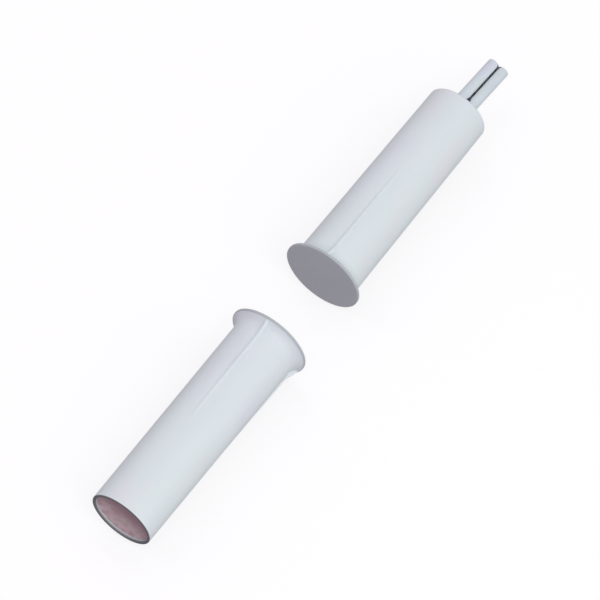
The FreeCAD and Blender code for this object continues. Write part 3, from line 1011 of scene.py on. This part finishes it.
class Bench(NodeTree):
    """A material's nodes, round its own Principled shader."""

    def __init__(self, name: str) -> None:
        """Starts a material.

        Args:
            name: The material's name.
        """
        self.material = bpy.data.materials.new(name)
        self.material.use_nodes = True
        super().__init__(self.material.node_tree)
        self.shader = self.find("BSDF_PRINCIPLED")
        self.place = self.add("TexCoord").outputs["Object"]

    def set(self, **values: object) -> None:
        """Sets the shader's own sockets, named with _ for a space, or joins them to a pattern."""
        for name, value in values.items():
            self.feed(self.shader.inputs[name.replace("_", " ")], value)

    def noise(self, size: float, detail: float = 3.0, stretch: Triple = NO_STRETCH) -> Socket:
        """Soft noise.

        Args:
            size: How large its blotches are.
            detail: How many finer layers it has.
            stretch: How much it is squeezed along each axis.

        Returns:
            Its value, about 0.5 in the mean.
        """
        place = self.add("Mapping", Vector=self.place, Scale=stretch).outputs["Vector"]
        return self.add("TexNoise", Vector=place, Scale=1 / size, Detail=detail).outputs["Fac"]

    def pits(self, size: float) -> Socket:
        """Returns the distance to the nearest of many scattered points, one in each cell of a size."""
        return self.add("TexVoronoi", Vector=self.place, Scale=1 / size).outputs["Distance"]

    def tone(self) -> Socket:
        """Reads the mesh's painted shade.

        Returns:
            The share of painted shade, 0 where the mesh has none.
        """
        node = self.add("Attribute")
        node.attribute_name = PAINTED_SHADE
        return node.outputs["Fac"]

    def with_painted_shade(self, value: Socket, edge: Triple) -> Socket:
        """Blends a colour towards a painted shade colour by the mesh's share of painted shade.

        Args:
            value: The colour where the painted shade is 0.
            edge: The painted shade colour, where it is 1.

        Returns:
            The blended colour.
        """
        node = self.add("Mix")
        node.data_type = "RGBA"
        sockets = {socket.identifier: socket for socket in node.inputs}
        self.feed(sockets["Factor_Float"], self.tone())
        self.feed(sockets["A_Color"], value)
        self.feed(sockets["B_Color"], (*edge, 1.0))
        return next(socket for socket in node.outputs if socket.identifier == "Result_Color")

    def bump(self, heights: Sequence[tuple[Socket, float]]) -> None:
        """Roughens the surface by several height patterns.

        Args:
            heights: The patterns, each with how deep it is.
        """
        normal = None
        for value, depth in heights:
            node = self.add("Bump", Height=value, Distance=depth)
            if normal is not None:
                self.feed(node.inputs["Normal"], normal)
            normal = node.outputs["Normal"]
        self.set(Normal=normal)


def shaded(colour: Triple, share: float) -> Triple:
    """Returns a colour scaled by a share."""
    return tuple(share * part for part in colour)


@dataclass(frozen=True)
class Plastic:
    """A moulded or extruded plastic: close shades in slow blotches, soft gloss and a fine skin.

    Where it has an edge colour, painted shade blends towards it by the mesh's share and lowers the
    reflection.
    """

    name: str
    shades: tuple[Triple, ...]
    roughness: Pair
    # The painted shade colour, where the mesh's share of painted shade is 1.
    edge: Triple | None = None
    reflection: Pair = (0.5, 0.02)
    blotch: float = 6.0 * MM
    blotch_detail: float = 4.0
    flow: Triple = (0.35, 1.0, 1.0)
    gloss_share: float = 1 / 3
    peel: float = 0.35 * MM
    peel_detail: float = 2.0
    peel_depth: float = 0.004 * MM
    grain: float = 0.06 * MM
    grain_detail: float = 1.0
    grain_depth: float = 0.0008 * MM
    subsurface: float = 0.0
    subsurface_reach: float = 0.4 * MM
    subsurface_colour: Triple = (1.0, 0.95, 0.9)

    def make(self) -> Material:
        """Lays out drawn-out blotches, painted shade by the mesh's share, uneven gloss, orange peel and
        grain.

        Returns:
            The material.
        """
        bench = Bench(self.name)
        blotches = bench.noise(self.blotch, self.blotch_detail, self.flow)
        colour = bench.ramp(blotches, NOISE_RANGE, self.shades)
        # Painted shade: the colour goes towards the edge colour, and the reflection down, by the mesh's
        # share.
        if self.edge is not None:
            colour = bench.with_painted_shade(colour, self.edge)
            bench.set(Specular_IOR_Level=bench.spread(bench.tone(), (0.0, 1.0), self.reflection))
        gloss = bench.noise(self.blotch * self.gloss_share)
        bench.set(Base_Color=colour, Roughness=bench.spread(gloss, NOISE_RANGE, self.roughness))
        peel, grain = bench.noise(self.peel, self.peel_detail), bench.noise(self.grain, self.grain_detail)
        bench.bump(((peel, self.peel_depth), (grain, self.grain_depth)))
        bench.set(Subsurface_Weight=self.subsurface, Subsurface_Scale=self.subsurface_reach)
        bench.set(Subsurface_Radius=self.subsurface_colour)
        return bench.material


@dataclass(frozen=True)
class Resin:
    """A poured and set resin: shades in cloudy mottles, pin-prick bubbles and an uneven gloss.

    Where it has a painted shade colour, painted shade blends towards it by the mesh's share.
    """

    name: str
    shades: tuple[Triple, ...]
    roughness: Pair
    painted_shade_colour: Triple | None = None
    mottle: float = 1.6 * MM
    mottle_detail: float = 5.0
    mottle_range: Pair = (0.36, 0.64)
    ripple: float = 0.9 * MM
    ripple_depth: float = 0.02 * MM
    bubble: float = 0.55 * MM
    bubble_range: Pair = (0.05, 0.16)
    bubble_depth: float = 0.02 * MM

    def make(self) -> Material:
        """Lays out a ramp over cloudy noise, painted shade on one side, ripples and round pits.

        Returns:
            The material.
        """
        bench = Bench(self.name)
        clouds = bench.noise(self.mottle, self.mottle_detail)
        colour = bench.ramp(clouds, self.mottle_range, self.shades)
        # Painted shade: the colour goes towards the shade colour by the mesh's share.
        if self.painted_shade_colour is not None:
            colour = bench.with_painted_shade(colour, self.painted_shade_colour)
        ripples = bench.noise(self.ripple)
        bench.set(Base_Color=colour, Roughness=bench.spread(ripples, NOISE_RANGE, self.roughness))
        pits = bench.spread(bench.pits(self.bubble), self.bubble_range, (0.0, 1.0))
        bench.bump(((ripples, self.ripple_depth), (pits, self.bubble_depth)))
        return bench.material


@dataclass(frozen=True)
class Metal:
    """A bare metal: two shades, streaks along the axis or a cast grain, and a fine surface."""

    name: str
    light: Triple
    shade: Triple
    roughness: Pair
    streak: Triple = (0.04, 1.0, 1.0)
    shade_range: Pair = (0.35, 0.65)
    grain: float = 0.12 * MM
    grain_detail: float = 4.0
    grain_depth: float = 0.004 * MM

    def make(self) -> Material:
        """Lays out streaked or grainy noise over colour, gloss and height.

        Returns:
            The material.
        """
        bench = Bench(self.name)
        grain = bench.noise(self.grain, self.grain_detail, self.streak)
        colour = bench.ramp(grain, self.shade_range, (self.shade, self.light))
        gloss = bench.spread(grain, NOISE_RANGE, self.roughness)
        bench.set(Metallic=1.0, Base_Color=colour, Roughness=gloss)
        bench.bump(((grain, self.grain_depth),))
        return bench.material


@dataclass(frozen=True)
class Glass:
    """The reed capsule's tinted glass, with the faint drag marks of its sealing."""

    name: str
    tint: Triple = (0.80, 0.93, 0.88)
    deeper: float = 0.94
    roughness: Pair = (0.01, 0.05)
    refraction: float = 1.51
    drag: float = 0.5 * MM
    drag_detail: float = 2.0
    drag_depth: float = 0.002 * MM
    draw: Triple = (0.3, 1.0, 1.0)

    def make(self) -> Material:
        """Lays out clear, tinted glass with slow waves in its gloss and height.

        Returns:
            The material.
        """
        bench = Bench(self.name)
        waves = bench.noise(self.drag, self.drag_detail, self.draw)
        colour = bench.ramp(waves, NOISE_RANGE, (shaded(self.tint, self.deeper), self.tint))
        bench.set(Base_Color=colour, Roughness=bench.spread(waves, NOISE_RANGE, self.roughness))
        bench.bump(((waves, self.drag_depth),))
        bench.set(Transmission_Weight=1.0, IOR=self.refraction)
        return bench.material


FINISHES = {
    "moulded_shell": Plastic(
        "cool_white_moulding",
        shades=((0.760, 0.810, 0.840), (0.770, 0.855, 0.855), (0.755, 0.850, 0.840), (0.780, 0.830, 0.830)),
        roughness=(0.38, 0.50),
        # Painted shade colour for the rims and the flange face, which lie in shade.
        edge=(0.18, 0.20, 0.20),
        subsurface=0.06,
    ),
    "lead_plastic": Plastic(
        "lead_insulation",
        shades=((0.68, 0.73, 0.82), (0.70, 0.79, 0.81), (0.66, 0.75, 0.76), (0.72, 0.77, 0.82)),
        roughness=(0.36, 0.5),
        # Painted shade colour, near black, for the shade in the groove between the leads.
        edge=(0.01, 0.015, 0.02),
        blotch=2.0 * MM,
        flow=(0.3, 1.0, 1.0),
        peel=0.25 * MM,
    ),
    "cushion_rubber": Plastic(
        "soft_sleeve",
        shades=((0.64, 0.62, 0.58), (0.72, 0.70, 0.66)),
        roughness=(0.6, 0.75),
        blotch=1.5 * MM,
    ),
    "sleeve_plastic": Plastic(
        "wire_sleeve",
        shades=((0.73, 0.71, 0.63), (0.80, 0.78, 0.70)),
        roughness=(0.4, 0.55),
        blotch=1.2 * MM,
    ),
    "potting_resin": Resin(
        "cast_potting",
        shades=((0.70, 0.70, 0.68), (0.77, 0.77, 0.75), (0.82, 0.82, 0.81)),
        roughness=(0.22, 0.4),
    ),
    "adhesive_resin": Resin(
        "pinkish_brown_adhesive",
        shades=((0.50, 0.355, 0.36), (0.58, 0.445, 0.45), (0.62, 0.53, 0.51), (0.525, 0.43, 0.40)),
        roughness=(0.35, 0.6),
        # Painted shade colour for the side of the recess that the rim shades.
        painted_shade_colour=(0.345, 0.235, 0.24),
    ),
    "reed_alloy": Metal(
        "nickel_iron",
        light=(0.62, 0.59, 0.54),
        shade=(0.50, 0.47, 0.43),
        roughness=(0.22, 0.38),
    ),
    "strand_copper": Metal(
        "tinned_strand",
        light=(0.74, 0.71, 0.67),
        shade=(0.62, 0.55, 0.48),
        roughness=(0.25, 0.42),
        grain=0.05 * MM,
    ),
    "solder": Metal(
        "solder",
        light=(0.70, 0.71, 0.72),
        shade=(0.52, 0.53, 0.55),
        roughness=(0.2, 0.45),
        streak=NO_STRETCH,
        grain=0.2 * MM,
    ),
    "magnet_metal": Metal(
        "cast_magnet_alloy",
        light=(0.36, 0.35, 0.34),
        shade=(0.22, 0.21, 0.21),
        roughness=(0.4, 0.65),
        streak=NO_STRETCH,
        grain=0.3 * MM,
        grain_depth=0.02 * MM,
    ),
    "capsule_glass": Glass("capsule_glass"),
}

CARRIED_OVER = (
    "reed_capsule",
    "front_reed",
    "rear_reed",
    "capsule_cushion",
    "reed_wire_sleeve",
    "solder_joint_a",
    "solder_joint_b",
    "potting_compound",
    "bar_magnet",
)


def dress_node(node: str, finish: Material) -> Piece:
    """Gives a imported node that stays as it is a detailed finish.

    Args:
        node: The node's name.
        finish: The material for its slot.

    Returns:
        The node's piece.
    """
    piece = frame["nodes"][node]
    piece.data.materials.clear()
    piece.data.materials.append(finish)
    return piece


def direction(azimuth: float, elevation: float) -> Vector:
    """Returns the unit vector at so many degrees from +X towards +Y, and so many up."""
    turn, rise = math.radians(azimuth), math.radians(elevation)
    return Vector((math.cos(rise) * math.cos(turn), math.cos(rise) * math.sin(turn), math.sin(rise)))


@dataclass(frozen=True)
class SoftBox:
    """A square area light that looks at the pair, its angles in degrees."""

    name: str
    azimuth: float
    elevation: float
    watts: float
    colour: Triple
    distance: float = 0.6
    size: float = 0.6

    def build(self, target: Vector) -> None:
        """Hangs the light round the target, its azimuth counted from +X towards +Y.

        Args:
            target: The point that it looks at.
        """
        way = direction(self.azimuth, self.elevation)
        light = bpy.data.lights.new(self.name, "AREA")
        light.energy, light.size, light.color = self.watts, self.size, self.colour
        lamp = add_object(self.name, light)
        lamp.location = target + way * self.distance
        lamp.rotation_euler = way.to_track_quat("Z", "Y").to_euler()


@dataclass(frozen=True)
class Studio:
    """A pale floor under the flanges, soft light from above, and the photograph's camera."""

    floor_drop: float = 0.02 * MM
    floor_radius: float = 1.5
    floor_columns: int = 96
    floor_colour: Triple = (0.30, 0.30, 0.30)
    floor_deeper: float = 0.985
    floor_blotch: float = 0.05
    floor_roughness: float = 0.8
    floor_glow: float = 0.73
    world_strength: float = 0.46
    world_slope: Triple = (0.0, -0.07, 0.16)
    near_side: Triple = (1.02, 0.83, 1.03)
    far_side: Triple = (0.98, 1.0, 1.0)
    azimuth: float = -55.0
    elevation: float = 57.9
    focal_pixels: float = 3013.0
    frame_pixels: float = 600.0
    sensor: float = 36.0
    near_clip: float = 10 * MM
    face_right: float = 2.977 * MM
    face_up: float = 3.181 * MM
    face_forward: float = 405.5 * MM
    boxes: tuple[SoftBox, ...] = (
        SoftBox("key", azimuth=-95.0, elevation=22.0, watts=1.02, colour=(0.97, 1.0, 0.985)),
        SoftBox("fill", azimuth=80.0, elevation=42.0, watts=0.72, colour=(1.0, 0.985, 1.03)),
        SoftBox("front", azimuth=-125.0, elevation=58.0, watts=0.62, colour=(0.95, 1.0, 0.97), size=0.3),
    )

    def build_floor(self) -> None:
        """Lays a round floor just under the flanges."""
        height = CAD_BOX[0][2] - self.floor_drop
        angle = round_angles(self.floor_columns)
        rim = np.stack([np.cos(angle), np.sin(angle), np.zeros_like(angle)], axis=-1) * self.floor_radius
        mesh = bpy.data.meshes.new("floor")
        mesh.from_pydata((rim + np.array([0, 0, height])).tolist(), [], [list(range(self.floor_columns))])
        floor = add_object("floor", mesh)
        bench = Bench("pale_floor")
        shades = (shaded(self.floor_colour, self.floor_deeper), self.floor_colour)
        bench.set(Base_Color=bench.ramp(bench.noise(self.floor_blotch), NOISE_RANGE, shades))
        bench.set(Roughness=self.floor_roughness)
        bench.set(Emission_Color=(1.0, 1.0, 1.0, 1.0), Emission_Strength=self.floor_glow)
        mesh.materials.append(bench.material)
        floor.visible_diffuse = False
        floor.visible_glossy = False
        floor.visible_shadow = False

    def build_world(self) -> None:
        """Fills the surroundings with soft light, brighter from above and from the side towards -Y.

        Its strength in a direction is the mean strength plus the direction's dot product with the slope,
        and its tint goes along X, from the near side's at -X to the far side's at +X.
        """
        world = bpy.data.worlds.new("studio")
        world.use_nodes = True
        sky = NodeTree(world.node_tree)
        way = sky.add("TexCoord").outputs["Generated"]
        slope = sky.add("VectorMath")
        slope.operation = "DOT_PRODUCT"
        sky.feed(slope.inputs[0], way)
        sky.feed(slope.inputs[1], self.world_slope)
        strength = sky.add("Math")
        strength.operation = "ADD"
        sky.feed(strength.inputs[0], slope.outputs["Value"])
        sky.feed(strength.inputs[1], self.world_strength)
        along = sky.add("SeparateXYZ", Vector=way).outputs["X"]
        share = sky.spread(along, (-1.0, 1.0), (0.0, 1.0))
        background = sky.find("BACKGROUND")
        sky.feed(background.inputs["Strength"], strength.outputs["Value"])
        tint = sky.ramp(share, (0.0, 1.0), (self.near_side, self.far_side))
        sky.feed(background.inputs["Color"], tint)
        bpy.context.scene.world = world

    def build_camera(self) -> None:
        """Sets the camera where the outlines of both halves match the photograph.

        The view's right, up and forward directions follow from its azimuth and elevation, and the camera
        stands so far back along each that the switch half's face centre lies where the photograph has it.
        """
        right = direction(self.azimuth, 0)
        forward = direction(self.azimuth + 90, -self.elevation)
        up = right.cross(forward)
        lens = bpy.data.cameras.new("photograph_view")
        lens.sensor_width = self.sensor
        lens.lens = self.focal_pixels / self.frame_pixels * self.sensor
        lens.clip_start = self.near_clip
        camera = add_object("photograph_view", lens)
        place = -(right * self.face_right + up * self.face_up + forward * self.face_forward)
        turn = Matrix((right, up, -forward)).transposed().to_4x4()
        camera.matrix_world = Matrix.Translation(place) @ turn
        bpy.context.scene.camera = camera

    def build(self) -> None:
        """Builds the floor, the surroundings, the lights and the camera."""
        self.build_floor()
        self.build_world()
        self.build_camera()
        low, high = (Vector(corner) for corner in CAD_BOX)
        for box in self.boxes:
            box.build((low + high) / 2)
        view = bpy.context.scene.view_settings
        view.view_transform = "Standard"
        view.look = "None"
        log.info("studio: floor, surroundings, %d lights and the camera", len(self.boxes))


def main() -> None:
    """Builds the pair's pieces, dresses the carried-over nodes, reports each and sets the studio up."""
    logging.basicConfig(level=logging.INFO, format="%(message)s")
    finishes = {slot: finish.make() for slot, finish in FINISHES.items()}
    slots = {part["node"]: part["material_slot"] for part in frame["record"]["subparts"]}
    # The switch half's rear edge has less painted shade than the magnet half's.
    switch_barrel, magnet_barrel = Barrel(Half.SWITCH, rear_painted_shade=0.45), Barrel(Half.MAGNET)
    leads = LeadPair()
    pieces = [
        switch_barrel.build(finishes["moulded_shell"]),
        *leads.build(finishes["lead_plastic"], finishes["strand_copper"]),
        PottingSurface(switch_barrel, leads).build(finishes["potting_resin"]),
        magnet_barrel.build(finishes["moulded_shell"]),
        MagnetAdhesive(magnet_barrel).build(finishes["adhesive_resin"]),
        *(dress_node(node, finishes[slots[node]]) for node in CARRIED_OVER),
    ]
    for piece in pieces:
        log.info("%s: %d faces, %s", piece.name, len(piece.data.polygons), piece.data.materials[0].name)
    Studio().build()


if __name__ == "__main__":
    main()
